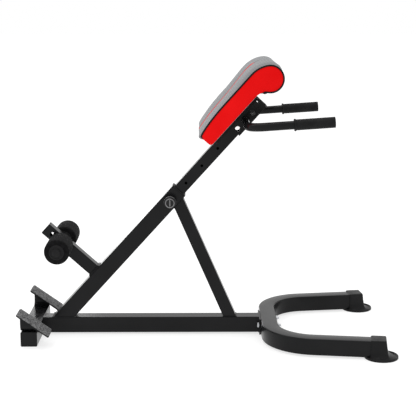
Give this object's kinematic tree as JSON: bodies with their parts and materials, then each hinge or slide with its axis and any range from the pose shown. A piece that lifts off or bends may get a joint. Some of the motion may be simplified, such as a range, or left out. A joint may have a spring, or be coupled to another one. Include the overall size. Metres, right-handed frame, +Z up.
{
  "type": "roman chair",
  "caption": "Adjustable roman chair: sloping post with height pin, split hip pad with front roll, two handles, ankle rollers, foot plates and a U-shaped front base.",
  "frame": {"origin": "on the floor under the middle of the whole chair", "axes": "+X forwards over the hip pad, the way the user leans; +Y to the user's left; +Z up"},
  "size_m": [1.1383, 0.617, 0.8515],
  "materials": {
    "powder_coat": "satin",
    "black_plastic": "satin",
    "zinc": "satin",
    "chrome": "polished",
    "tread_rubber": "matte",
    "grip_rubber": "matte",
    "roller_foam": "matte",
    "plywood": "matte",
    "pad_fabric": "matte",
    "pad_vinyl": "satin"
  },
  "bodies": {
    "frame": {"rear_crossbar": "powder_coat", "crossbar_plug_left": "black_plastic", "crossbar_plug_right": "black_plastic", "foot_strap": "powder_coat", "foot_plate_left": "powder_coat", "foot_plate_right": "powder_coat", "tread_left": "tread_rubber", "tread_right": "tread_rubber", "base_tube": "powder_coat", "front_flange": "powder_coat", "front_u_tube": "powder_coat", "flange_bolt_left": "zinc", "flange_bolt_right": "zinc", "flange_nut_left": "zinc", "flange_nut_right": "zinc", "foot_cap_left": "black_plastic", "foot_cap_right": "black_plastic", "brace_tube": "powder_coat", "outer_post": "powder_coat", "post_sleeve": "black_plastic", "ankle_arm": "powder_coat", "ankle_arm_pad": "powder_coat", "ankle_arm_plug": "black_plastic", "roller_axle": "chrome", "axle_cap_left": "black_plastic", "axle_cap_right": "black_plastic", "pin_barrel": "powder_coat", "pin_spring": "zinc"},
    "pin": {"plunger_pin": "zinc", "pin_knob": "black_plastic"},
    "post": {"inner_post": "powder_coat", "post_glide": "black_plastic", "post_end_cap": "black_plastic", "pad_bracket_left": "powder_coat", "pad_bracket_right": "powder_coat", "pad_board": "plywood", "pad_bolt_lower_left": "zinc", "pad_bolt_upper_left": "zinc", "pad_bolt_lower_right": "zinc", "pad_bolt_upper_right": "zinc", "hip_cushion_left": "pad_fabric", "hip_cushion_right": "pad_fabric", "hip_roll": "pad_fabric", "pad_side_left": "pad_vinyl", "pad_side_right": "pad_vinyl", "handlebar": "powder_coat", "handle_grip_left": "grip_rubber", "handle_grip_right": "grip_rubber"},
    "roller_left": {"foam_roller_left": "roller_foam", "roller_hub_inner_left": "black_plastic", "roller_hub_outer_left": "black_plastic"},
    "roller_right": {"foam_roller_right": "roller_foam", "roller_hub_inner_right": "black_plastic", "roller_hub_outer_right": "black_plastic"}
  },
  "joints": [
    {"name": "height_slide", "type": "slide", "parent": "frame", "child": "post", "axis": [0.6717, 0, 0.7408], "range_m": [-0.2178, 0.0726]},
    {"name": "pin_pull", "type": "slide", "parent": "frame", "child": "pin", "axis": [0, 1, 0], "range_m": [0, 0.01], "stiffness_N_per_m": 300, "springref_m": 0.016},
    {"name": "roller_spin_left", "type": "hinge", "parent": "frame", "child": "roller_left", "pos_m": [-0.44471, 0.096, 0.29395], "axis": [0, 1, 0], "continuous": true},
    {"name": "roller_spin_right", "type": "hinge", "parent": "frame", "child": "roller_right", "pos_m": [-0.44471, -0.096, 0.29395], "axis": [0, 1, 0], "continuous": true}
  ]
}
